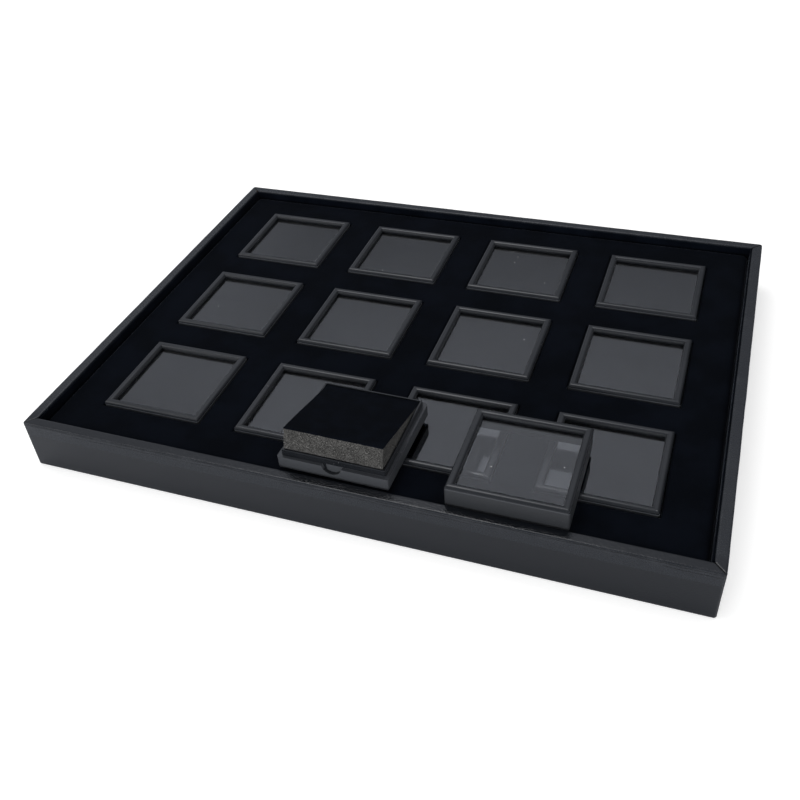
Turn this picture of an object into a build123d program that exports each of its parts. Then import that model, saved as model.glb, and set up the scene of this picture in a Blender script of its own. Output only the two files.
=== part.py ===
from build123d import *
import math
import os

# Display tray with twelve closed gem boxes in velvet pockets and a thirteenth, opened, lying on top.
# Millimetres. Origin at the centre of the underside, X along the length, front at -Y, Z up.

os.makedirs("parts", exist_ok=True)

# Tray
tray_length = 370.0
tray_depth = 285.0
tray_height = 31.0
rim_width = 6.0
leatherette_thickness = 0.8
corner_seam = 0.2
rim_edge_radius = 0.7
turned_in_width = 20.0
board_thickness = 3.0
wall_velvet_thickness = 0.8
wall_velvet_below_rim = 1.0
lining_gap = 0.5

# Velvet pad with the pockets
columns = 4
rows = 3
pocket_end_margin = 25.5
pocket_side_margin = 24.0
pocket_clearance = 0.5
pad_below_rim = 4.3
pad_edge_gap = 0.5
pad_edge_radius = 4.0
lid_above_pad = 2.0

# Gem box
box_side = 60.0
box_corner_radius = 1.2
inner_corner_radius = 0.6
shoulder_height = 7.2
lip_height = 3.5
lip_wall = 1.0
lip_clearance = 0.2
lip_chamfer = 0.3
base_floor = 0.9
foot_recess = 0.3
foot_width = 3.0
foot_edge_radius = 0.4
notch_radius = 5.5
notch_depth = 4.4
lid_height = 12.7
lid_wall = 1.8
bead_width = 4.2
bead_height = 3.0
bead_edge_radius = 1.8
pane_thickness = 0.9
pane_clearance = 0.2
foam_thickness = 12.2
foam_clearance = 0.2

# Opened gem box: where its pieces lie
resting_gap = 0.3
open_base_x = -3.4
open_base_wall_gap = 3.0
open_base_yaw = -0.8
loose_lid_shift = 2.9
loose_lid_wall_gap = 1.2
loose_lid_yaw = 0.2
foam_face_tilt = 14.0
foam_front_overhang = 0.5
foam_squeeze = 0.8

# Levels and spans that follow from the sizes above
core_inner_offset = rim_width - leatherette_thickness
core_top = tray_height - leatherette_thickness
board_bottom = leatherette_thickness
board_top = board_bottom + board_thickness
inner_length = tray_length - 2 * rim_width
inner_depth = tray_depth - 2 * rim_width
wall_velvet_top = tray_height - wall_velvet_below_rim
pad_top = tray_height - pad_below_rim
pad_length = inner_length - 2 * (wall_velvet_thickness + pad_edge_gap)
pad_depth = inner_depth - 2 * (wall_velvet_thickness + pad_edge_gap)
lid_top = pad_top + lid_above_pad
pocket_floor = lid_top - lid_height - shoulder_height
pocket_side = box_side + 2 * pocket_clearance
column_pitch = (inner_length - 2 * pocket_end_margin - pocket_side) / (columns - 1)
row_pitch = (inner_depth - 2 * pocket_side_margin - pocket_side) / (rows - 1)
lip_side = box_side - 2 * (lid_wall + lip_clearance)
lip_top = shoulder_height + lip_height
tub_side = lip_side - 2 * lip_wall
tub_floor = foot_recess + base_floor
foam_side = tub_side - 2 * foam_clearance
lid_cavity_side = box_side - 2 * lid_wall
window_side = box_side - 2 * bead_width
pane_side = lid_cavity_side - 2 * pane_clearance
pane_top = lid_height - bead_height


def keep(part, name):
    """Label a finished piece and write it to its own file."""
    part.label = name
    export_step(part, f"parts/{name}.step")


def mitred_outline(length, depth, outer_offset, inner_offset):
    """Corners of a strip along the front of a rectangle, with both ends cut at 45 degrees to its corners."""
    return (
        (-length / 2 + outer_offset, -depth / 2 + outer_offset),
        (length / 2 - outer_offset, -depth / 2 + outer_offset),
        (length / 2 - inner_offset, -depth / 2 + inner_offset),
        (-length / 2 + inner_offset, -depth / 2 + inner_offset),
    )


def mitred_boards(length, depth):
    """Two opposite wall cores of a rectangle of this length and depth."""
    with BuildPart() as board:
        with BuildSketch(Plane.XY.offset(board_bottom)):
            with BuildLine():
                Polyline(
                    *mitred_outline(length, depth, leatherette_thickness, core_inner_offset),
                    close=True,
                )
            make_face()
        extrude(amount=core_top - board_bottom)
        mirror(about=Plane.XZ)
    return board.part


# Wall cores, one pair along the length and one along the depth
keep(mitred_boards(tray_length, tray_depth), "front_and_back_walls")
keep(mitred_boards(tray_depth, tray_length).rotate(Axis.Z, 90), "left_and_right_walls")

# Bottom board, glued in between the walls
with BuildPart() as bottom_board:
    with BuildSketch(Plane.XY.offset(board_bottom)):
        Rectangle(tray_length - 2 * core_inner_offset, tray_depth - 2 * core_inner_offset)
    extrude(amount=board_thickness)
keep(bottom_board.part, "bottom_board")


def leatherette_strips(length, depth):
    """Two opposite strips that run up the outside, over the rim, down the inside and in underneath."""
    skin = leatherette_thickness
    front = -depth / 2
    seam_along = corner_seam * math.sqrt(2)
    with BuildPart() as strips:
        with BuildSketch(Plane.YZ):
            with BuildLine():
                Polyline(
                    (front, 0),
                    (front + turned_in_width, 0),
                    (front + turned_in_width, skin),
                    (front + skin, skin),
                    (front + skin, core_top),
                    (front + core_inner_offset, core_top),
                    (front + core_inner_offset, board_top),
                    (front + rim_width, board_top),
                    (front + rim_width, tray_height),
                    (front, tray_height),
                    close=True,
                )
            make_face()
        extrude(amount=length / 2, both=True)
        fillet(strips.edges().filter_by(Axis.X).group_by(Axis.Z)[-1], radius=rim_edge_radius)
        with BuildSketch():
            with BuildLine():
                Polyline(*mitred_outline(length - seam_along, depth, 0, turned_in_width), close=True)
            make_face()
        extrude(amount=tray_height, mode=Mode.INTERSECT)
        mirror(about=Plane.XZ)
    return strips.part


# Leatherette, four strips that meet in mitres at the rim corners
leatherette = Compound(
    children=[
        *leatherette_strips(tray_length, tray_depth).solids(),
        *leatherette_strips(tray_depth, tray_length).rotate(Axis.Z, 90).solids(),
    ]
)
keep(leatherette, "leatherette_cover")

# Lining sheet on the underside, inside the turned-in leatherette
with BuildPart() as bottom_lining:
    with BuildSketch():
        Rectangle(
            tray_length - 2 * (turned_in_width + lining_gap),
            tray_depth - 2 * (turned_in_width + lining_gap),
        )
    extrude(amount=leatherette_thickness)
keep(bottom_lining.part, "bottom_lining")

# Velvet strips on the inner faces of the walls, the short pair butted between the long pair
with BuildPart() as wall_velvet:
    with BuildSketch(Plane.XY.offset(board_top)):
        with Locations((0, -(inner_depth - wall_velvet_thickness) / 2)):
            Rectangle(inner_length, wall_velvet_thickness)
        with Locations((0, (inner_depth - wall_velvet_thickness) / 2)):
            Rectangle(inner_length, wall_velvet_thickness)
    extrude(amount=wall_velvet_top - board_top)
with BuildPart() as side_wall_velvet:
    with BuildSketch(Plane.XY.offset(board_top)):
        with GridLocations(inner_length - wall_velvet_thickness, 0, 2, 1):
            Rectangle(wall_velvet_thickness, inner_depth - 2 * wall_velvet_thickness)
    extrude(amount=wall_velvet_top - board_top)
keep(
    Compound(children=[*wall_velvet.solids(), *side_wall_velvet.solids()]),
    "velvet_wall_lining",
)

# Underlay that the gem boxes stand on
with BuildPart() as pad_underlay:
    with BuildSketch(Plane.XY.offset(board_top)):
        Rectangle(pad_length, pad_depth)
    extrude(amount=pocket_floor - board_top)
keep(pad_underlay.part, "pad_underlay")

# Pad with one square pocket per gem box and a rounded upper edge
with BuildPart() as pocket_pad:
    with BuildSketch(Plane.XY.offset(pocket_floor)):
        Rectangle(pad_length, pad_depth)
    extrude(amount=pad_top - pocket_floor)
    fillet(pocket_pad.faces().sort_by(Axis.Z)[-1].edges(), radius=pad_edge_radius)
    with BuildSketch(Plane.XY.offset(pocket_floor)):
        with GridLocations(column_pitch, row_pitch, columns, rows):
            Rectangle(pocket_side, pocket_side)
    extrude(amount=pad_top - pocket_floor, mode=Mode.SUBTRACT)
keep(pocket_pad.part, "pocket_pad")

# Gem box base: tub with a shoulder for the lid, an inset lip, a foot rim and a thumb notch
with BuildPart() as gem_base:
    with BuildSketch():
        RectangleRounded(box_side, box_side, box_corner_radius)
    extrude(amount=shoulder_height)
    fillet(gem_base.faces().sort_by(Axis.Z)[0].edges(), radius=foot_edge_radius)
    with BuildSketch(Plane.XY.offset(shoulder_height)):
        RectangleRounded(lip_side, lip_side, inner_corner_radius)
    extrude(amount=lip_height)
    chamfer(gem_base.faces().sort_by(Axis.Z)[-1].edges(), length=lip_chamfer)
    with BuildSketch(Plane.XY.offset(tub_floor)):
        RectangleRounded(tub_side, tub_side, inner_corner_radius)
    extrude(amount=lip_top - tub_floor, mode=Mode.SUBTRACT)
    with BuildSketch():
        Rectangle(box_side - 2 * foot_width, box_side - 2 * foot_width)
    extrude(amount=foot_recess, mode=Mode.SUBTRACT)
    with BuildSketch(Plane.XZ.offset(box_side / 2)):
        with Locations((0, shoulder_height - notch_depth + notch_radius)):
            Circle(notch_radius)
    extrude(amount=-(box_side - lip_side) / 2, mode=Mode.SUBTRACT)

# Foam pad with its velvet face up, lying in a closed base
with BuildPart() as gem_foam:
    with BuildSketch(Plane.XY.offset(tub_floor)):
        Rectangle(foam_side, foam_side)
    extrude(amount=foam_thickness)

# Lid frame: four walls, and a rounded bead that stands up round the window
with BuildPart() as gem_lid:
    with BuildSketch(Plane.XY.offset(shoulder_height)):
        Rectangle(box_side, box_side)
    extrude(amount=lid_height)
    fillet(gem_lid.faces().sort_by(Axis.Z)[-1].edges(), radius=bead_edge_radius)
    with BuildSketch(Plane.XY.offset(shoulder_height)):
        RectangleRounded(box_side, box_side, box_corner_radius)
    extrude(amount=lid_height, mode=Mode.INTERSECT)
    with BuildSketch(Plane.XY.offset(shoulder_height)):
        RectangleRounded(lid_cavity_side, lid_cavity_side, inner_corner_radius)
    extrude(amount=pane_top, mode=Mode.SUBTRACT)
    with BuildSketch(Plane.XY.offset(shoulder_height + pane_top)):
        Rectangle(window_side, window_side)
    extrude(amount=bead_height, mode=Mode.SUBTRACT)
    fillet(gem_lid.faces().sort_by(Axis.Z)[-1].inner_wires()[0].edges(), radius=bead_edge_radius)

# Clear pane, seated from inside against the underside of the bead
with BuildPart() as gem_pane:
    with BuildSketch(Plane.XY.offset(shoulder_height + pane_top - pane_thickness)):
        RectangleRounded(pane_side, pane_side, inner_corner_radius)
    extrude(amount=pane_thickness)

gem_box = {"base": gem_base, "foam": gem_foam, "lid": gem_lid, "pane": gem_pane}

# Twelve closed gem boxes, rows counted from the back and columns from the left
for row in range(rows):
    for column in range(columns):
        place = Location(
            (
                (column - (columns - 1) / 2) * column_pitch,
                ((rows - 1) / 2 - row) * row_pitch,
                pocket_floor,
            )
        )
        for piece_name, piece in gem_box.items():
            keep(piece.part.moved(place), f"gem_box_r{row + 1}_c{column + 1}_{piece_name}")

# The opened gem box lies on the closed lids, behind the front wall
inner_front = -inner_depth / 2
open_base_place = Location(
    (open_base_x, inner_front + open_base_wall_gap + box_side / 2, lid_top + resting_gap),
    (0, 0, open_base_yaw),
)
keep(gem_base.part.moved(open_base_place), "open_box_base")

# Its foam pad is propped on the front lip and squeezed into the tub at the back
lip_inner = tub_side / 2
foam_back_low = (lip_inner - foam_squeeze, tub_floor + resting_gap)
underside_slope = (lip_top - tub_floor) / (foam_back_low[0] + lip_inner)
foam_front_low = (
    -lip_inner - foam_front_overhang,
    lip_top + resting_gap + foam_front_overhang * underside_slope,
)
tilt = math.radians(foam_face_tilt)
foam_front_high = (
    foam_front_low[0] + foam_thickness * math.sin(tilt),
    foam_front_low[1] + foam_thickness * math.cos(tilt),
)
foam_back = lip_inner - foam_clearance
foam_back_high = (
    foam_back,
    foam_front_high[1] - (foam_back - foam_front_high[0]) * math.tan(tilt),
)
with BuildPart() as open_foam:
    with BuildSketch(Plane.YZ):
        with BuildLine():
            Polyline(foam_back_low, foam_back_high, foam_front_high, foam_front_low, close=True)
        make_face()
    extrude(amount=foam_side / 2, both=True)
keep(open_foam.part.moved(open_base_place), "open_box_foam")

# The lid that was taken off lies beside it
loose_lid_place = Location(
    (
        column_pitch + loose_lid_shift,
        inner_front + loose_lid_wall_gap + box_side / 2,
        lid_top + resting_gap - shoulder_height,
    ),
    (0, 0, loose_lid_yaw),
)
keep(gem_lid.part.moved(loose_lid_place), "loose_lid")
keep(gem_pane.part.moved(loose_lid_place), "loose_lid_pane")
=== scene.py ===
import math

import bpy
import numpy as np
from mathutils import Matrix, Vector, noise

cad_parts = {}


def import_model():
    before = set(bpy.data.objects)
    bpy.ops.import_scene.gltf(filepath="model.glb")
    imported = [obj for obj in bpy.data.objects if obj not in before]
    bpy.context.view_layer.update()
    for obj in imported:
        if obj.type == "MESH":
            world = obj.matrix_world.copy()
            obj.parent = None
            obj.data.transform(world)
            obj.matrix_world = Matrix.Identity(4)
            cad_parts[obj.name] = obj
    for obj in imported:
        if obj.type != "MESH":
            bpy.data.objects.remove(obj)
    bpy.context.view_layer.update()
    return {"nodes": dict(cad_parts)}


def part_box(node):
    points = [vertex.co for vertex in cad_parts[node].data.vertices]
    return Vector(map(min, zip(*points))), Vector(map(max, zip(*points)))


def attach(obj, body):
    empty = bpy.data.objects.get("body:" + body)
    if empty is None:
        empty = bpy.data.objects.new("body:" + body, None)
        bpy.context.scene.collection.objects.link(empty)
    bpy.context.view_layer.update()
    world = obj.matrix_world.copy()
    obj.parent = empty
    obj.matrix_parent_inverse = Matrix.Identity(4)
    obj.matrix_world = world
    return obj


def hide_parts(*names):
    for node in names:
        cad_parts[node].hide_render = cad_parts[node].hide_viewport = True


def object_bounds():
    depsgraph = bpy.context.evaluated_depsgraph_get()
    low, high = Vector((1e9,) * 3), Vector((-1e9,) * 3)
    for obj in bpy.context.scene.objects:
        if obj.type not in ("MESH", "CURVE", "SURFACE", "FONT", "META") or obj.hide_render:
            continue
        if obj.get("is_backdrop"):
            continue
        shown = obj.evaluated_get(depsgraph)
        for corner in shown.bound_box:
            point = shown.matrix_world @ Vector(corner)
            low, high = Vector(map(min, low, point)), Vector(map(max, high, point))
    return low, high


# Looks of the display tray with its gem boxes. Shapes are worked out in millimetres and stored in metres.
# Materials, lamps and the camera are in metres.

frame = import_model()
nodes = frame["nodes"]
MM = 0.001


# Node trees


class Nodes:
    """Short ways to write a node tree. A value is a number, a colour or another node's output."""

    def __init__(self, tree):
        self.tree = tree
        tree.nodes.clear()

    def node(self, kind, inputs=None, **settings):
        """A new node with its settings, and with its inputs by name or number."""
        made = self.tree.nodes.new(kind)
        for key, value in settings.items():
            setattr(made, key, value)
        for key, value in (inputs or {}).items():
            self.feed(made.inputs[key], value)
        return made

    def feed(self, socket, value):
        if isinstance(value, bpy.types.NodeSocket):
            self.tree.links.new(value, socket)
        else:
            socket.default_value = value

    def split(self, vector):
        return self.node("ShaderNodeSeparateXYZ", {0: vector}).outputs

    def maths(self, operation, first, second=0.0):
        return self.node("ShaderNodeMath", {0: first, 1: second}, operation=operation).outputs[0]

    def plus(self, first, second):
        return self.maths("ADD", first, second)

    def minus(self, first, second):
        return self.maths("SUBTRACT", first, second)

    def times(self, first, second):
        return self.maths("MULTIPLY", first, second)

    def larger(self, first, second):
        return self.maths("MAXIMUM", first, second)

    def apart(self, first, second):
        """How far two numbers are apart."""
        return self.maths("ABSOLUTE", self.minus(first, second))

    def curve(self, value, low, high, to_low=0.0, to_high=1.0):
        """A number eased from the range low to high into another range."""
        inputs = {"Value": value, "From Min": low, "From Max": high, "To Min": to_low, "To Max": to_high}
        return self.node("ShaderNodeMapRange", inputs, interpolation_type="SMOOTHSTEP").outputs[0]

    def mix(self, factor, *colours):
        """A colour between two others."""
        first, second = (c if isinstance(c, bpy.types.NodeSocket) else (*c, 1.0) for c in colours)
        return self.node("ShaderNodeMix", {0: factor, 6: first, 7: second}, data_type="RGBA").outputs[2]

    def blend(self, factor, first, second):
        """A number between two others."""
        return self.node("ShaderNodeMix", {0: factor, 2: first, 3: second}).outputs[0]

    def seen_directly(self, path):
        """One for rays from the camera, also through a clear pane, and nought after any reflection."""
        straight = self.maths("LESS_THAN", path["Glossy Depth"], 0.5)
        return self.larger(path["Is Camera Ray"], self.times(path["Is Transmission Ray"], straight))


class Shader(Nodes):
    """A procedural material under construction, with its textures fixed to the piece."""

    def __init__(self, name):
        self.material = bpy.data.materials.new(name)
        self.material.use_nodes = True
        super().__init__(self.material.node_tree)
        self.surface = self.node("ShaderNodeBsdfPrincipled")
        self.node("ShaderNodeOutputMaterial", {0: self.surface.outputs[0]})
        self.place = self.node("ShaderNodeTexCoord").outputs["Object"]

    def set(self, **values):
        """Inputs of the surface by name, with _ for a space."""
        for key, value in values.items():
            self.feed(self.surface.inputs[key.replace("_", " ")], value)

    def attribute(self, name):
        return self.node("ShaderNodeAttribute", attribute_name=name).outputs["Fac"]

    def stretched(self, x, y, z):
        return self.node("ShaderNodeMapping", {"Scale": (x, y, z), "Vector": self.place}).outputs[0]

    def noise(self, scale, detail=2.0, roughness=0.5, place=None):
        inputs = {"Vector": place or self.place, "Scale": scale, "Detail": detail, "Roughness": roughness}
        return self.node("ShaderNodeTexNoise", inputs).outputs["Fac"]

    def cells(self, scale, feature="F1", place=None):
        inputs = {"Vector": place or self.place, "Scale": scale}
        return self.node("ShaderNodeTexVoronoi", inputs, feature=feature).outputs["Distance"]

    def warped(self, scale, amount):
        """The place shifted by a noise, for grain that is not regular."""
        cloud = self.node("ShaderNodeTexNoise", {"Vector": self.place, "Scale": scale}).outputs["Color"]
        shift = self.node("ShaderNodeVectorMath", {0: cloud, "Scale": amount}, operation="SCALE").outputs[0]
        return self.node("ShaderNodeVectorMath", {0: self.place, 1: shift}, operation="ADD").outputs[0]

    def dust(self, scale, speck, patches, share):
        """Specks in the middle of cells, only where a broad noise is high."""
        return self.times(self.curve(self.cells(scale), *speck), self.curve(self.noise(patches, 2), *share))

    def bump(self, *layers):
        """Layers of (height, depth in millimetres), the broadest first."""
        below = {}
        for height, depth in layers:
            made = self.node("ShaderNodeBump", {"Strength": 1.0, "Distance": depth * MM, "Height": height, **below})
            below = {"Normal": made.outputs[0]}
        self.set(Normal=made.outputs[0])


# Materials


first_crease, second_crease = 1.1, 2.9  # millimetres below the rim, on the outer face
off_face = 9.0  # what the attribute "across" holds wherever the strip isn't on the outer face


def leatherette_material():
    """Thin black coated fabric with a fine pebble grain, rubbed and with creases at the folded edges. The rubbed
    folds are paler, which is also painted highlight, and the creases are darkened with painted shade.
    """
    coat, coat_pale, groove = (0.0042, 0.0062, 0.0098), (0.0078, 0.0102, 0.0144), (0.0048, 0.0060, 0.0082)
    painted_front_shade, rubbed_and_highlit, crease_shade_and_seam = (0.0012, 0.0018, 0.0030), (0.024, 0.026, 0.030), (0.0022, 0.0024, 0.0028)
    s = Shader("leatherette_black")
    pebbles = s.curve(s.cells(820, "DISTANCE_TO_EDGE", s.warped(260, 0.0009)), 0.02, 0.22)
    pores = s.curve(s.cells(2300), 0.05, 0.35)
    tired = s.noise(22, 3, 0.6)
    across = s.attribute("across")
    # Along the front it is smoother and its colour darker as painted shade, apart from the upper 8 to 9 mm of the
    # outer face
    at_front = s.curve(s.split(s.place)["Y"], -0.130, -0.135)
    smooth_shaded_front = s.times(s.curve(across, off_face - 1.0, off_face - 0.1), at_front)
    wavering = s.plus(across, s.curve(s.noise(34, 3, 0.6), 0.2, 0.8, -0.7, 0.7))
    broken = s.curve(s.noise(26, 3, 0.6), 0.40, 0.56)
    first = s.curve(s.apart(wavering, first_crease), 0.34, 0.10)
    second = s.curve(s.apart(wavering, second_crease), 0.30, 0.08)
    crease = s.larger(first, s.times(second, broken))
    seam = s.curve(s.attribute("to_seam"), 0.55, 0.12)
    # Rubbed wear at the folds and near the ends; its paler colour also paints the highlight that the rounded folds
    # catch
    rubbed = s.times(s.attribute("fold"), s.curve(s.noise(90, 4, 0.65), 0.4, 0.75))
    base = s.mix(s.curve(tired, 0.3, 0.7), coat, coat_pale)
    base = s.mix(s.times(pebbles, 0.5), groove, base)
    # Painted shade: the front takes a darker colour
    base = s.mix(s.times(smooth_shaded_front, 0.85), base, painted_front_shade)
    base = s.mix(s.times(rubbed, s.minus(0.5, s.times(smooth_shaded_front, 0.4))), base, rubbed_and_highlit)
    # Painted shade darkens the creases; the seams get the same dark colour as joints
    base = s.mix(s.larger(s.times(crease, 0.7), seam), base, crease_shade_and_seam)
    rough = s.curve(tired, 0.3, 0.7, 0.20, 0.27)
    rough = s.plus(rough, s.times(s.minus(1.0, pebbles), 0.16))
    rough = s.times(rough, s.minus(1.0, s.times(smooth_shaded_front, 0.5)))
    rough = s.plus(rough, s.times(s.larger(crease, seam), 0.35))
    s.set(Base_Color=base, Roughness=rough, Specular_IOR_Level=0.455)
    s.bump((s.noise(38, 2), 0.20), (crease, -0.07), (pebbles, 0.026), (pores, 0.006))
    return s.material


def velvet_material(name, mottle, relief):
    """Black short-pile velvet: nearly no light back, except at a glancing angle."""
    deep, brushed, tuft = (0.0008, 0.0014, 0.0028), (0.0020, 0.0030, 0.0056), (0.0045, 0.0055, 0.0085)
    s = Shader(name)
    nap = s.noise(mottle, 3, 0.55)
    pile = s.noise(5200, 2, 0.7)
    tufts = s.noise(900, 3, 0.65)
    base = s.mix(s.curve(nap, 0.32, 0.68), deep, brushed)
    base = s.mix(s.curve(tufts, 0.55, 0.8, 0.0, 0.5), base, tuft)
    s.set(Base_Color=base, Roughness=s.curve(nap, 0.3, 0.7, 0.9, 1.0), Specular_IOR_Level=0.05)
    s.set(Sheen_Weight=0.06, Sheen_Roughness=0.22, Sheen_Tint=(0.72, 0.82, 1.0, 1.0))
    s.bump((nap, 0.10 * relief), (tufts, 0.06 * relief), (pile, 0.05 * relief))
    return s.material


def foam_material():
    """Charcoal open-cell foam with a cut surface: fine cells, pores darkened as painted shade and some pale walls.
    """
    charcoal, faded = (0.047, 0.0465, 0.0455), (0.070, 0.069, 0.067)
    pore_shade, cell_wall = (0.012, 0.0118, 0.0115), (0.195, 0.193, 0.187)
    s = Shader("foam_charcoal")
    place = s.warped(900, 0.0005)
    pores = s.curve(s.cells(2100, "F1", place), 0.18, 0.60)
    coarse = s.curve(s.cells(1150, "F1", place), 0.12, 0.50)
    tone = s.noise(160, 3, 0.6)
    base = s.mix(s.curve(tone, 0.3, 0.7), charcoal, faded)
    # Painted shade in the pores of the cells
    base = s.mix(coarse, pore_shade, base)
    base = s.mix(s.times(pores, 0.85), pore_shade, base)
    base = s.mix(s.curve(s.noise(1500, 2, 0.7), 0.58, 0.70, 0.0, 0.65), base, cell_wall)
    s.set(Base_Color=base, Roughness=0.96, Specular_IOR_Level=0.2)
    s.bump((tone, 0.08), (coarse, 0.10), (pores, 0.08))
    return s.material


# From the middle of a gem box, in metres: its outer sides lie beyond the first distance, and the inner roundings
# of its window's bead within the second
outer_side, inner_side = 0.02795, 0.0277


def plastic_material(name, centre, pitch, top, painted_side_light, edge, inner):
    """Moulded black plastic: glossy, with a fine matte texture on the outer sides up to the height top.

    The boxes repeat at the pitch from the centre. The grey of the texture is painted light on the sides, scaled for
    each piece; inner puts the same painted light on the inner roundings of the bead, and edge is the strength of a
    painted highlight, a pale line along the top of the texture. Faint sink marks, hairline scratches and specks of
    dust lie on it.
    """
    black, black_pale, edge_highlight_grey = (0.0055, 0.0065, 0.0082), (0.0085, 0.0095, 0.0115), (0.060, 0.064, 0.072)
    # The paler grey of the matte sides is painted light, scaled for each piece
    side = tuple(n * painted_side_light for n in (0.034, 0.0365, 0.041))
    s = Shader(name)
    spot = s.split(s.place)
    facing = s.split(s.node("ShaderNodeNewGeometry").outputs["Normal"])
    away = []
    for axis, middle in zip("XY", centre):
        turns = s.maths("DIVIDE", s.minus(spot[axis], middle), pitch)
        part = s.minus(s.maths("FRACT", s.plus(turns, 0.5)), 0.5)
        away.append(s.maths("ABSOLUTE", s.times(part, pitch)))
    reach = s.larger(*away)
    outer = s.maths("GREATER_THAN", reach, outer_side)
    low = s.curve(spot["Z"], top + 0.0002, top - 0.0002)
    upright = s.curve(s.maths("ABSOLUTE", facing["Z"]), 0.7, 0.4)
    # The inner roundings of the bead get the same grey, as painted light in their shade
    rounding = s.curve(spot["Z"], top - 0.0006, top + 0.0003, 0.0, inner)
    inside = s.times(s.maths("LESS_THAN", reach, inner_side), rounding)
    texture = s.times(upright, s.larger(s.times(outer, low), inside))
    # Painted highlight: a pale line along the top of the texture, as on an edge catching light
    line = s.times(outer, s.curve(s.apart(spot["Z"], top), 0.00035, 0.00015))
    sink = s.noise(55, 2, 0.5)
    spark = s.noise(2400, 2, 0.6)
    scratch = s.larger(
        s.curve(s.noise(1, 2, 0.5, s.stretched(35, 2400, 2400)), 0.70, 0.76),
        s.curve(s.noise(1, 2, 0.5, s.stretched(2400, 35, 2400)), 0.71, 0.77),
    )
    dust = s.dust(420, (0.10, 0.05), 48, (0.56, 0.66))
    base = s.mix(s.curve(sink, 0.3, 0.7), black, black_pale)
    base = s.mix(s.times(texture, s.curve(spark, 0.2, 0.8, 0.75, 1.0)), base, side)
    base = s.mix(s.times(line, edge), base, edge_highlight_grey)
    base = s.mix(s.times(scratch, 0.25), base, (0.05, 0.05, 0.052))
    base = s.mix(s.times(dust, 0.7), base, (0.22, 0.22, 0.22))
    rough = s.plus(s.curve(s.noise(120, 3, 0.6), 0.3, 0.7, 0.19, 0.25), s.times(scratch, 0.10))
    rough = s.plus(rough, s.times(texture, 0.3))
    s.set(Base_Color=base, Roughness=rough, Specular_IOR_Level=0.46)
    s.bump((sink, 0.015), (scratch, -0.003), (spark, 0.003))
    return s.material


def pane_material():
    """Clear acrylic sheet with faint smears and a few specks of dust."""
    clear, smeared, dusty = (0.94, 0.945, 0.95), (0.86, 0.865, 0.87), (0.60, 0.60, 0.58)
    s = Shader("pane_clear")
    smear = s.curve(s.noise(1, 3, 0.6, s.stretched(28, 70, 40)), 0.45, 0.75)
    dust = s.dust(170, (0.060, 0.042), 40, (0.59, 0.63))
    s.set(Base_Color=s.mix(dust, s.mix(smear, clear, smeared), dusty), Roughness=s.times(dust, 0.5))
    s.set(Transmission_Weight=s.minus(1.0, s.times(dust, 0.8)), IOR=1.49, Specular_IOR_Level=0.5)
    s.bump((s.noise(18, 0), 0.002), (dust, 0.04))
    return s.material


def felt_material():
    """Black pressed felt with loose short fibres."""
    black, faded, fibre = (0.006, 0.0065, 0.0075), (0.012, 0.0125, 0.0135), (0.030, 0.031, 0.033)
    s = Shader("felt_black")
    fibres = s.noise(1, 4, 0.75, s.stretched(1500, 420, 900))
    crossing = s.noise(1, 4, 0.75, s.stretched(420, 1500, 900))
    patchy = s.noise(45, 3, 0.6)
    base = s.mix(s.curve(patchy, 0.3, 0.7), black, faded)
    base = s.mix(s.curve(s.larger(fibres, crossing), 0.58, 0.78, 0.0, 0.7), base, fibre)
    s.set(Base_Color=base, Roughness=0.97, Specular_IOR_Level=0.15)
    s.set(Sheen_Weight=0.08, Sheen_Roughness=0.6)
    s.bump((patchy, 0.12), (fibres, 0.08), (crossing, 0.08))
    return s.material


def board_material():
    """Fibreboard of the tray's core."""
    brown, tan, layer_brown = (0.23, 0.15, 0.085), (0.42, 0.30, 0.19), (0.20, 0.13, 0.08)
    s = Shader("fibreboard")
    fibres = s.noise(1, 5, 0.7, s.stretched(260, 700, 1600))
    layers = s.noise(1, 2, 0.5, s.stretched(8, 8, 420))
    base = s.mix(s.curve(fibres, 0.35, 0.7), brown, tan)
    base = s.mix(s.curve(layers, 0.4, 0.6, 0.0, 0.3), base, layer_brown)
    s.set(Base_Color=base, Roughness=s.curve(fibres, 0.3, 0.7, 0.7, 0.9))
    s.bump((fibres, 0.08))
    return s.material


leatherette = leatherette_material()
pad_velvet = velvet_material("velvet_pad", 45, 1.0)
foam_velvet = velvet_material("velvet_foam_face", 110, 0.2)
foam_grey = foam_material()
box_pitch = 0.082
first_box = (box_pitch / 2, 0.0)
alone = 1.0  # a pitch longer than the tray, for a piece that doesn't repeat
plastic = {
    node: plastic_material(f"plastic_black_{label}", centre, pitch, top, painted_side_light, edge, inner)
    for node, label, centre, pitch, top, painted_side_light, edge, inner in (
        # Each row: node, label, centre, pitch, top, grey of the painted side light, painted edge highlight, painted
        # inner light
        ("_base", "base", first_box, box_pitch, 0.0160, 0.8, 0.0, 0.0),
        ("_lid", "lid", first_box, box_pitch, 0.0269, 0.6, 0.8, 1.0),
        ("open_box_base", "open_base", (-0.0034, -0.1035), alone, 0.0362, 1.25, 0.3, 0.0),
        ("loose_lid", "loose_lid", (0.0849, -0.1053), alone, 0.0399, 0.66, 0.6, 1.0),
    )
}
pane = pane_material()
felt = felt_material()
board = board_material()


def dress(object_, material):
    """Give every material slot of a CAD node this material."""
    if not object_.material_slots:
        object_.data.materials.append(material)
    for holder in object_.material_slots:
        holder.material = material


for name, item in nodes.items():
    if name.endswith(("_base", "_lid")):
        dress(item, plastic.get(name) or plastic["_" + name.split("_")[-1]])
    elif name.endswith("_pane"):
        dress(item, pane)
    elif name.endswith("_walls") or name == "bottom_board":
        dress(item, board)


# Mesh building


def ripple(points, wavelength, seed):
    """Smooth noise, about -1 to 1, at points given in millimetres."""
    shift = Vector((seed * 17.3, seed * 5.1, seed * 9.7))
    return np.array([noise.noise(Vector(p) / wavelength + shift) for p in points.tolist()])


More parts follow.
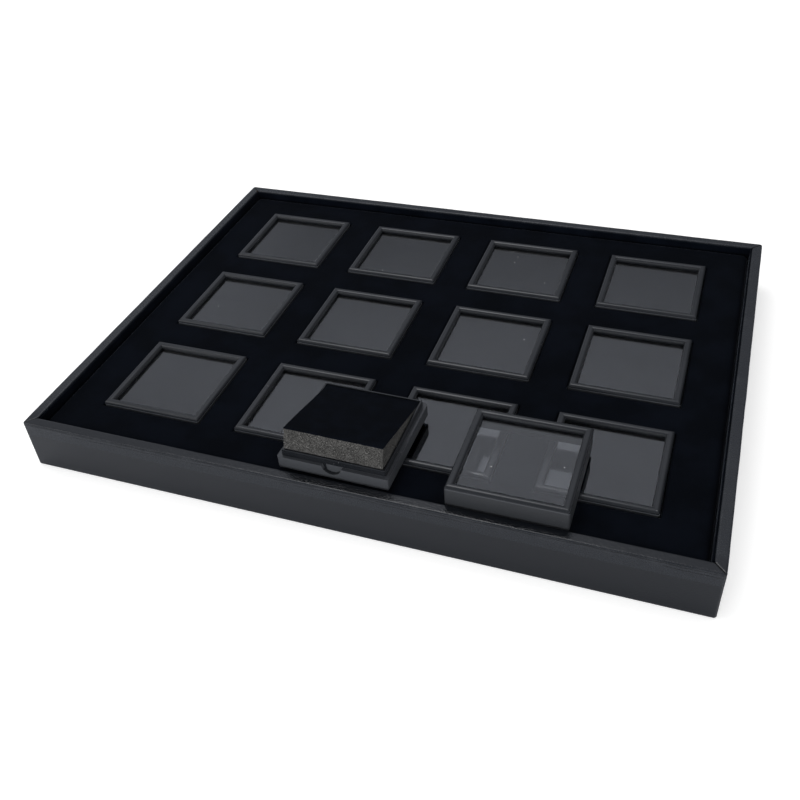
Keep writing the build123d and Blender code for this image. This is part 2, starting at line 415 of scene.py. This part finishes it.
def stops(low, high, near, step):
    """Places from low to high: the near distances in from both ends, and about step apart between them."""
    start, span = low + near[-1], high - low - 2 * near[-1]
    count = max(1, math.ceil(span / step))
    middle = [start + span * k / count for k in range(1, count)]
    return [low + n for n in near] + middle + [high - n for n in reversed(near)]


def rounding(radius):
    """Distances in from an end that is rounded by the radius."""
    return [share * radius for share in (0.0, 0.12, 0.30, 0.55, 1.0)]


def block(xs, ys, zs, edge):
    """A closed box surface on the given lines, its edges rounded by edge. Returns points and four-sided faces."""
    index, points, faces = {}, [], []

    def point(i, j, k):
        if (i, j, k) not in index:
            index[i, j, k] = len(points)
            points.append((xs[i], ys[j], zs[k]))
        return index[i, j, k]

    nx, ny, nz = len(xs) - 1, len(ys) - 1, len(zs) - 1
    for i in range(nx):
        for j in range(ny):
            faces.append((point(i, j, 0), point(i, j + 1, 0), point(i + 1, j + 1, 0), point(i + 1, j, 0)))
            faces.append((point(i, j, nz), point(i + 1, j, nz), point(i + 1, j + 1, nz), point(i, j + 1, nz)))
    for i in range(nx):
        for k in range(nz):
            faces.append((point(i, 0, k), point(i + 1, 0, k), point(i + 1, 0, k + 1), point(i, 0, k + 1)))
            faces.append((point(i, ny, k), point(i, ny, k + 1), point(i + 1, ny, k + 1), point(i + 1, ny, k)))
    for j in range(ny):
        for k in range(nz):
            faces.append((point(0, j, k), point(0, j, k + 1), point(0, j + 1, k + 1), point(0, j + 1, k)))
            faces.append((point(nx, j, k), point(nx, j + 1, k), point(nx, j + 1, k + 1), point(nx, j, k + 1)))
    points = np.array(points)
    low = np.array([xs[0], ys[0], zs[0]]) + edge
    high = np.array([xs[-1], ys[-1], zs[-1]]) - edge
    core = np.clip(points, low, high)
    away = points - core
    length = np.linalg.norm(away, axis=1, keepdims=True)
    points = np.where(length > 1e-9, core + away / np.maximum(length, 1e-9) * edge, points)
    return points, faces


def tube(rings, count):
    """Faces of a tube with closed ends, over rings of count points each."""
    faces = []
    for here in range(0, (rings - 1) * count, count):
        there = here + count
        for j in range(count):
            k = (j + 1) % count
            faces.append((there + j, there + k, here + k, here + j))
    last = (rings - 1) * count
    return faces + [tuple(range(count)), tuple(reversed(range(last, last + count)))]


def piece(name, points, faces, materials, face_materials=None, place=(0.0, 0.0, 0.0), turn=0.0, mesh=None):
    """A new object from points in millimetres, or from a mesh that is there, placed and turned in the row frame."""
    if mesh is None:
        mesh = bpy.data.meshes.new(name)
        mesh.from_pydata((np.asarray(points) * MM).tolist(), [], faces)
        for material in materials:
            mesh.materials.append(material)
        if face_materials is not None:
            mesh.polygons.foreach_set("material_index", face_materials)
        mesh.polygons.foreach_set("use_smooth", [True] * len(mesh.polygons))
        mesh.validate()
        mesh.update()
    made = bpy.data.objects.new(name, mesh)
    made.location = [n * MM for n in place]
    made.rotation_euler = (0.0, 0.0, math.radians(turn))
    bpy.context.scene.collection.objects.link(made)
    return made


def joined(*parts):
    """One set of points and faces from several."""
    points, faces, count = [], [], 0
    for some, those in parts:
        points.append(some)
        faces += [tuple(n + count for n in face) for face in those]
        count += len(some)
    return np.concatenate(points), faces


# Tray sizes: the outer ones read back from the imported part, the others as modelled there

_, tray_high = (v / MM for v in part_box("leatherette_cover"))
half_length, half_depth, tray_height = tray_high
rim_width, skin, turned_in = 6.0, 0.8, 20.0
wall_foot = 3.8
corner_seam = 0.2


# Leatherette wrapped round the walls, four strips with mitred ends

fold_radius, corner_radius = 0.9, 1.4
wear_and_highlight_from_bottom, wear_and_highlight_from_top, wear_and_highlight_from_end = 4.0, 5.0, 5.0
seam_reach, seam_depth = 0.9, 0.22  # how far from its mitred ends a strip dips, and how deep
end_lines = [0.0, 0.15, 0.35, 0.6, 0.9, 1.3, 1.8, 2.6, 4.0]
DOWN, OUT, UP, IN, NO_NORMAL = (0.0, -1.0), (-1.0, 0.0), (0.0, 1.0), (1.0, 0.0), (0.0, 0.0)


def wrap_profile():
    """The strip's outline across the wall: from its edge turned in below, over the wall, down and back inside.

    Returns places as (distance in from the outer face, height), their outward normals and how much each is folded.
    """
    rows = []
    r, top, rim = fold_radius, tray_height, rim_width

    def run(start, end, count, normal, fold_start=0.0, fold_end=0.0):
        for t in np.linspace(0, 1, count, endpoint=False):
            spot = [a + (b - a) * t for a, b in zip(start, end)]
            rows.append((*spot, *normal, fold_start + (fold_end - fold_start) * t))

    def bend(centre, start, end, count):
        for t in np.linspace(0, 1, count, endpoint=False):
            angle = math.radians(start + (end - start) * t)
            normal = math.cos(angle), math.sin(angle)
            rows.append((centre[0] + r * normal[0], centre[1] + r * normal[1], *normal, 1.0))

    run((turned_in, 0.0), (r, 0.0), 5, DOWN)
    bend((r, r), 270, 180, 6)
    run((0.0, r), (0.0, wear_and_highlight_from_bottom), 3, OUT, 0.8, 0.0)
    run((0.0, wear_and_highlight_from_bottom), (0.0, top - wear_and_highlight_from_top), 7, OUT)
    run((0.0, top - wear_and_highlight_from_top), (0.0, top - r), 5, OUT, 0.0, 0.9)
    bend((r, top - r), 180, 90, 7)
    run((r, top), (rim - r, top), 6, UP, 0.5, 0.3)
    bend((rim - r, top - r), 90, 0, 6)
    run((rim, top - r), (rim, wall_foot), 5, IN)
    run((rim, wall_foot), (rim, wall_foot), 1, IN)
    inner, under = rim - skin, top - skin
    for corner in ((inner, wall_foot), (inner, under), (skin, under), (skin, skin), (turned_in, skin)):
        run(corner, corner, 1, NO_NORMAL)
    rows = np.array(rows)
    return rows[:, :2], rows[:, 2:4], rows[:, 4]


def round_ends(points, half, front):
    """Round off the strip's two upright corners, in place."""
    for end in (-1.0, 1.0):
        centre = np.array([end * (half - corner_radius), front + corner_radius])
        away = points[:, :2] - centre
        beyond = (away[:, 0] * end > 0) & (away[:, 1] < 0)
        reach = np.maximum(np.abs(away[:, 0]), np.abs(away[:, 1]))
        size = np.maximum(np.linalg.norm(away, axis=1), 1e-9)
        points[:, :2] = np.where(beyond[:, None], centre + away * (reach / size)[:, None], points[:, :2])


def wrap(name, length, depth, turn, seed):
    """One strip, made along the front of a rectangle and then turned to its own side."""
    section, normals, folded = wrap_profile()
    inward, height = section.T
    half, front = length / 2, -depth / 2
    along = np.array(stops(-half, half, end_lines, 5.0)) / half
    x = along[:, None] * (half - inward - corner_seam / math.sqrt(2))
    points = np.stack(np.broadcast_arrays(x, inward + front, height), 2).reshape(-1, 3)
    out = np.tile(np.insert(normals, 0, 0.0, axis=1), (len(along), 1))
    fold = np.tile(folded, len(along))
    to_end = (half - inward - np.abs(along[:, None]) * (half - inward)).ravel()
    dip = seam_depth * np.clip(1.0 - to_end / seam_reach, 0.0, 1.0) ** 2
    wave = 0.10 * ripple(points, 26.0, seed) + 0.05 * ripple(points, 7.0, seed + 3) * (0.3 + fold)
    underside = points[:, 2] < 1.0
    points = points + out * (np.where(underside, 0.0, wave) - dip)[:, None]
    round_ends(points, half, front)
    points[:, 2] = np.maximum(points[:, 2], 0.0)
    x, y, z = points.T
    cosine, sine = math.cos(math.radians(turn)), math.sin(math.radians(turn))
    turned = np.stack([x * cosine - y * sine, x * sine + y * cosine, z], 1)
    made = piece(name, turned, tube(len(along), len(section)), [leatherette])
    # How rubbed each place is, which also places the painted highlight on the folds
    rubbed_and_highlit = np.clip(fold + 0.6 * np.clip(1 - to_end / wear_and_highlight_from_end, 0, 1), 0, 1)
    across = np.tile(np.where(inward < 0.5, tray_height - height, off_face), len(along))
    for label, values in (("fold", rubbed_and_highlit), ("across", across), ("to_seam", to_end)):
        made.data.attributes.new(label, "FLOAT", "POINT").data.foreach_set("value", values.astype(np.float32))
    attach(made, "tray")
    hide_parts("leatherette_cover")


full_length, full_depth = 2 * half_length, 2 * half_depth
wrap("leatherette_front", full_length, full_depth, 0, 1)
wrap("leatherette_back", full_length, full_depth, 180, 2)
wrap("leatherette_left", full_depth, full_length, -90, 3)
wrap("leatherette_right", full_depth, full_length, 90, 4)


# Velvet pad with its pockets

pad_low, pad_high = (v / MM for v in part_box("pocket_pad"))
box_places = {}
for row in (1, 2, 3):
    for column in (1, 2, 3, 4):
        low, high = (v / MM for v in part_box(f"gem_box_r{row}_c{column}_base"))
        box_places[row, column] = (low + high) / 2
column_places = sorted({round(box_places[1, column][0], 3) for column in (1, 2, 3, 4)})
row_places = sorted({round(box_places[row, 1][1], 3) for row in (1, 2, 3)})
pocket_half = 30.5
mouth, pad_edge = 1.1, 4.0  # roundings at a pocket's mouth and at the pad's outer edge
pad_settled = 0.15  # how far the pad lies below its solid, before it swells
fullness, fullness_reach = 0.25, 4.0  # how much it swells, and how far from a pocket
outer_lines = (0.0, 0.25, 0.7, 1.3, 2.0, 2.9, 4.0, 5.5)
mouth_lines = (0.0, 0.12, 0.35, 0.7, 1.1, 1.9)


def pad_lines(half, centres):
    """Grid lines across the pad, closest at its outer edge and at the pocket mouths."""
    found = {side * (half - n) for side in (-1, 1) for n in outer_lines}
    for centre in centres:
        for side in (-1, 1):
            found |= {centre + side * pocket_half + side * n for n in mouth_lines}
    lines = sorted(round(n, 4) for n in found)
    filled = lines[:1]
    for n in lines[1:]:
        start = filled[-1]
        count = max(1, math.ceil((n - start) / 5.0))
        filled += [start + (n - start) * k / count for k in range(1, count + 1)]
    return np.array(filled)


def outside(places, centres):
    """How far places lie outside the nearest pocket, less than nought inside it."""
    return np.min([np.abs(places - centre) for centre in centres], axis=0) - pocket_half


def pad_height(gx, gy):
    """Height of the pad's top: rounded over at the outer edge and at the mouths, and slightly full between."""
    dx, dy = outside(gx, column_places), outside(gy, row_places)
    to_pocket = np.where((dx > 0) & (dy > 0), np.hypot(dx, dy), np.maximum(dx, dy))
    ex = np.maximum(pad_edge - (pad_high[0] - np.abs(gx)), 0)
    ey = np.maximum(pad_edge - (pad_high[1] - np.abs(gy)), 0)
    over = np.minimum(np.hypot(ex, ey), pad_edge)
    near = np.clip(mouth - to_pocket, 0, mouth)
    drop = pad_edge - np.sqrt(pad_edge**2 - over**2)
    drop = drop + mouth - np.sqrt(mouth**2 - near**2)
    flat = np.stack([gx.ravel(), gy.ravel(), np.zeros(gx.size)], 1)
    swell = 0.16 * ripple(flat, 38.0, 5) + 0.05 * ripple(flat, 11.0, 6)
    full = fullness * (1 - np.exp(-np.maximum(to_pocket, 0) / fullness_reach))
    return pad_high[2] - pad_settled - drop + full + swell.reshape(gx.shape)


def pocket_pad():
    """A soft pad, open from top to bottom at each pocket."""
    xs, ys = pad_lines(pad_high[0], column_places), pad_lines(pad_high[1], row_places)
    height = pad_height(*np.meshgrid(xs, ys, indexing="ij"))
    in_x = outside((xs[:-1] + xs[1:]) / 2, column_places) < 0
    in_y = outside((ys[:-1] + ys[1:]) / 2, row_places) < 0
    keep = ~(in_x[:, None] & in_y)
    ringed = np.pad(keep, 1)
    points, faces, index = [], [], {}

    def point(i, j, level):
        """The index of a grid point at the bottom (level 0), half way up or at the top (level 2)."""
        if (i, j, level) not in index:
            index[i, j, level] = len(points)
            points.append((xs[i], ys[j], pad_low[2] + (height[i, j] - pad_low[2]) * (level / 2)))
        return index[i, j, level]

    for i, j in np.argwhere(keep).tolist():
        a, b, c, d = (i, j), (i + 1, j), (i + 1, j + 1), (i, j + 1)
        faces.append(tuple(point(*corner, 2) for corner in (a, b, c, d)))
        faces.append(tuple(point(*corner, 0) for corner in (a, d, c, b)))
        for di, dj, start, end in ((-1, 0, d, a), (1, 0, b, c), (0, -1, a, b), (0, 1, c, d)):
            if ringed[i + 1 + di, j + 1 + dj]:
                continue
            for level in (0, 1):
                corners = (*start, level), (*end, level), (*end, level + 1), (*start, level + 1)
                faces.append(tuple(point(*corner) for corner in corners))
    made = piece("pocket_pad_velvet", points, faces, [pad_velvet])
    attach(made, "tray")
    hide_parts("pocket_pad")


pocket_pad()


# Velvet strips glued to the inner faces of the walls

lining_low, lining_high = (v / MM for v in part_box("velvet_wall_lining"))
lining_thickness = 0.8
lining_edge = 0.3


def wall_strip(name, low, high, seed):
    """One strip, with a cut top edge that is not quite straight."""
    long_axis = 0 if high[0] - low[0] > high[1] - low[1] else 1
    near = rounding(lining_edge)
    xs, ys = (stops(low[n], high[n], near, 6.0 if n == long_axis else 1.0) for n in (0, 1))
    points, faces = block(xs, ys, stops(low[2], high[2], near, 5.0), lining_edge)
    upper = np.clip((points[:, 2] - low[2]) / (high[2] - low[2]), 0, 1) ** 6
    points[:, 2] += upper * (0.12 * ripple(points, 17.0, seed) - 0.12)
    made = piece(name, points, faces, [pad_velvet])
    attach(made, "tray")
    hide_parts("velvet_wall_lining")


ix, iy, z0, z1 = lining_high[0], lining_high[1], lining_low[2], lining_high[2]
jx, jy = ix - lining_thickness, iy - lining_thickness
wall_strip("wall_velvet_front", (-ix, -iy, z0), (ix, -jy, z1), 11)
wall_strip("wall_velvet_back", (-ix, jy, z0), (ix, iy, z1), 12)
wall_strip("wall_velvet_left", (-ix, -jy, z0), (-jx, jy, z1), 13)
wall_strip("wall_velvet_right", (jx, -jy, z0), (ix, jy, z1), 14)


# Foam pads with a velvet face

foam_half, foam_height, velvet_thickness = 26.8, 12.2, 0.7
foam_floor = 1.2  # above the underside of the base
foam_tilt = math.radians(14)  # of the pad that is propped up in the opened box


def foam_shape(profile, seed):
    """Foam and its glued velvet face. The profile maps (depth 0 to 1, height 0 to 1) to (y, z)."""
    parts, owners = [], []
    depth = abs(profile(1.0, 1.0)[0] - profile(0.0, 1.0)[0])
    lines_y = [n * depth for n in stops(0.0, 1.0, rounding(0.02), 0.04)]
    centre = np.array([0.0, profile(0.5, 0.5)[0], 0.0])
    split = 1.0 - velvet_thickness / foam_height
    for low, high, material, edge in ((0.0, split, 0, 0.35), (split, 1.0, 1, 0.25)):
        lines_x = stops(-foam_half, foam_half, rounding(edge), 1.6)
        lines_z = stops(low * foam_height, high * foam_height, rounding(edge), 1.4)
        points, faces = block(lines_x, lines_y, lines_z, edge)
        x, y, z = points.T
        mapped = np.stack([x, *profile(y / depth, z / foam_height)], 1)
        side = np.maximum(np.abs(x) / foam_half, np.abs(y / depth - 0.5) * 2)
        shove = np.clip((side - 0.9) / 0.1, 0, 1)  # only over the last tenth towards a side
        out = mapped - centre
        out[:, 2] = 0.0
        out /= np.maximum(np.linalg.norm(out, axis=1, keepdims=True), 1e-9)
        if material == 0:  # cut sides, rough and drawn in
            rough = 0.14 * ripple(mapped, 1.4, seed) + 0.12 * ripple(mapped, 5.0, seed + 1) - 0.22
            mapped += out * (rough * shove)[:, None]
        else:  # the velvet face, softly uneven and a little low
            mapped += out * ((0.05 * ripple(mapped, 9.0, seed + 2) - 0.08) * shove)[:, None]
            mapped[:, 2] += 0.10 * ripple(mapped, 14.0, seed + 4) - 0.12
        parts.append((mapped, faces))
        owners += [material] * len(faces)
    return *joined(*parts), owners


def flat_profile(y, z):
    """The foam as it lies in a closed box."""
    return -foam_half + 2 * foam_half * y, foam_floor + foam_height * z


def propped_profile(y, z):
    """The foam in the opened box, its front on the lip and its back pushed down into the tub."""
    front_low, back_low = (-27.5, 11.06), (26.2, 1.5)
    front_high = (
        front_low[0] + foam_height * math.sin(foam_tilt),
        front_low[1] + foam_height * math.cos(foam_tilt),
    )
    back_high = (foam_half, front_high[1] - (foam_half - front_high[0]) * math.tan(foam_tilt))
    low = [front_low[n] + (back_low[n] - front_low[n]) * y for n in (0, 1)]
    high = [front_high[n] + (back_high[n] - front_high[n]) * y for n in (0, 1)]
    return low[0] + (high[0] - low[0]) * z, low[1] + (high[1] - low[1]) * z


foam_materials = [foam_grey, foam_velvet]
points, faces, owners = foam_shape(flat_profile, 21)
shared = None
for (row, column), centre in box_places.items():
    low, _ = (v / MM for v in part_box(f"gem_box_r{row}_c{column}_base"))
    place = (centre[0], centre[1], low[2])
    made = piece(f"foam_pad_r{row}_c{column}", points, faces, foam_materials, owners, place, mesh=shared)
    shared = made.data
    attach(made, f"box_r{row}_c{column}")
    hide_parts(f"gem_box_r{row}_c{column}_foam")

points, faces, owners = foam_shape(propped_profile, 31)
open_low, open_high = (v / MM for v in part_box("open_box_base"))
open_centre = (open_low + open_high) / 2
open_place, open_turn = (open_centre[0], open_centre[1], open_low[2]), -0.8
made = piece("foam_pad_open", points, faces, foam_materials, owners, open_place, open_turn)
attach(made, "open_foam")
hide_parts("open_box_foam")


# Felt under the gem boxes and under the tray

felt_edge = 0.35


def felt_slab(name, node, lift, seed):
    """A flat piece of felt with an uneven top. Returns it with its size."""
    low, high = (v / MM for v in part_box(node))
    near = rounding(felt_edge)
    lines = [stops(low[n], high[n], near, step) for n, step in enumerate((9.0, 9.0, 3.0))]
    points, faces = block(*lines, felt_edge)
    top = points[:, 2] > high[2] - 0.4
    points[:, 2] += np.where(top, lift * (ripple(points, 12.0, seed) - 1.0), 0.0)
    made = piece(name, points, faces, [felt])
    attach(made, "tray")
    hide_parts(node)
    return made, high - low


underlay, _ = felt_slab("underlay_felt", "pad_underlay", 0.06, 41)
lining, size = felt_slab("bottom_lining_felt", "bottom_lining", 0.0, 42)


# Floor, backdrop light and lamps


def floor():
    """White ground that glows like the backdrop where it is seen directly, and more so away from the tray."""
    mesh = bpy.data.meshes.new("floor")
    half = 6.0
    mesh.from_pydata([(-half, -half, 0), (half, -half, 0), (half, half, 0), (-half, half, 0)], [], [(0, 1, 2, 3)])
    made = bpy.data.objects.new("floor", mesh)
    made.location.z = -0.0002  # just clear of the underside
    bpy.context.scene.collection.objects.link(made)
    s = Shader("floor_white")
    path = s.node("ShaderNodeLightPath").outputs
    tone = s.mix(s.noise(3, 2), (0.80, 0.80, 0.80), (0.82, 0.82, 0.82))
    tone = s.mix(path["Is Glossy Ray"], tone, (0.60, 0.62, 0.67))
    s.set(Base_Color=tone, Roughness=0.9, Specular_IOR_Level=0.0)
    away = s.node("ShaderNodeVectorMath", {0: s.place}, operation="LENGTH").outputs["Value"]
    glow = s.times(s.seen_directly(path), s.curve(away, 0.7, 1.6, 0.38, 1.0))
    s.set(Emission_Color=(1.0, 1.0, 1.0, 1.0), Emission_Strength=glow)
    mesh.materials.append(s.material)
    made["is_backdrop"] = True


floor()


def world():
    """A white backdrop to the eye. In reflections a dim wall behind, a bright ceiling and a bright front."""
    made = bpy.data.worlds.new("studio")
    bpy.context.scene.world = made
    made.use_nodes = True
    s = Nodes(made.node_tree)
    path = s.node("ShaderNodeLightPath").outputs
    spot = s.split(s.node("ShaderNodeTexCoord").outputs["Generated"])  # a direction of length one
    front = s.curve(spot["Y"], -0.05, -0.6)
    to_left = s.minus(0.97, s.times(spot["X"], 0.28))
    behind = s.times(s.curve(spot["Z"], 0.44, 0.72, 0.22, 0.76), to_left)
    behind = s.blend(s.curve(spot["X"], -0.38, -0.58), behind, 0.53)
    mirrored = s.larger(path["Is Glossy Ray"], path["Is Transmission Ray"])
    level = s.blend(mirrored, s.blend(front, 0.58, 0.90), s.blend(front, behind, 0.35))
    plain = s.seen_directly(path)
    tint = s.mix(s.times(mirrored, s.minus(1.0, plain)), (1.0, 1.0, 1.0), (0.95, 1.0, 1.12))
    light = s.node("ShaderNodeBackground", {"Color": tint, "Strength": s.blend(plain, level, 1.0)})
    s.node("ShaderNodeOutputWorld", {0: light.outputs[0]})


world()


def softbox(name, place, target, size, power, mirrored=True):
    """A rectangular lamp in metres and watts. Only a mirrored one shows in reflections and through panes."""
    data = bpy.data.lights.new(name, "AREA")
    data.shape = "RECTANGLE"
    data.size, data.size_y = size
    data.energy = power
    made = bpy.data.objects.new(name, data)
    made.location = place
    made.rotation_euler = (Vector(target) - Vector(place)).to_track_quat("-Z", "Y").to_euler()
    made.visible_glossy = made.visible_transmission = mirrored
    bpy.context.scene.collection.objects.link(made)


softbox("softbox_top", (-0.30, 0.22, 1.25), (0.0, 0.0, 0.0), (0.8, 0.6), 4.4)
softbox("softbox_front", (0.10, -1.5, 0.30), (0.0, -0.1, 0.03), (1.3, 0.3), 13.5, mirrored=False)
softbox("softbox_left", (-1.1, -0.7, 0.8), (0.0, 0.0, 0.0), (0.7, 0.9), 3.0)
softbox("softbox_right", (1.4, -0.5, 0.35), (0.0, -0.05, 0.03), (0.5, 0.5), 4.5, mirrored=False)


# Camera at the photograph's place

camera_data = bpy.data.cameras.new("camera")
camera_data.sensor_width = 36.0
camera_data.lens = 41.304
camera_data.clip_start = 0.01
camera = bpy.data.objects.new("camera", camera_data)
camera.location = (0.155266, -0.423189, 0.349563)
camera.rotation_euler = [math.radians(n) for n in (50.154, 3.4784, 19.51)]
bpy.context.scene.collection.objects.link(camera)
bpy.context.scene.camera = camera
bpy.context.scene.view_settings.view_transform = "Standard"

low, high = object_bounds()
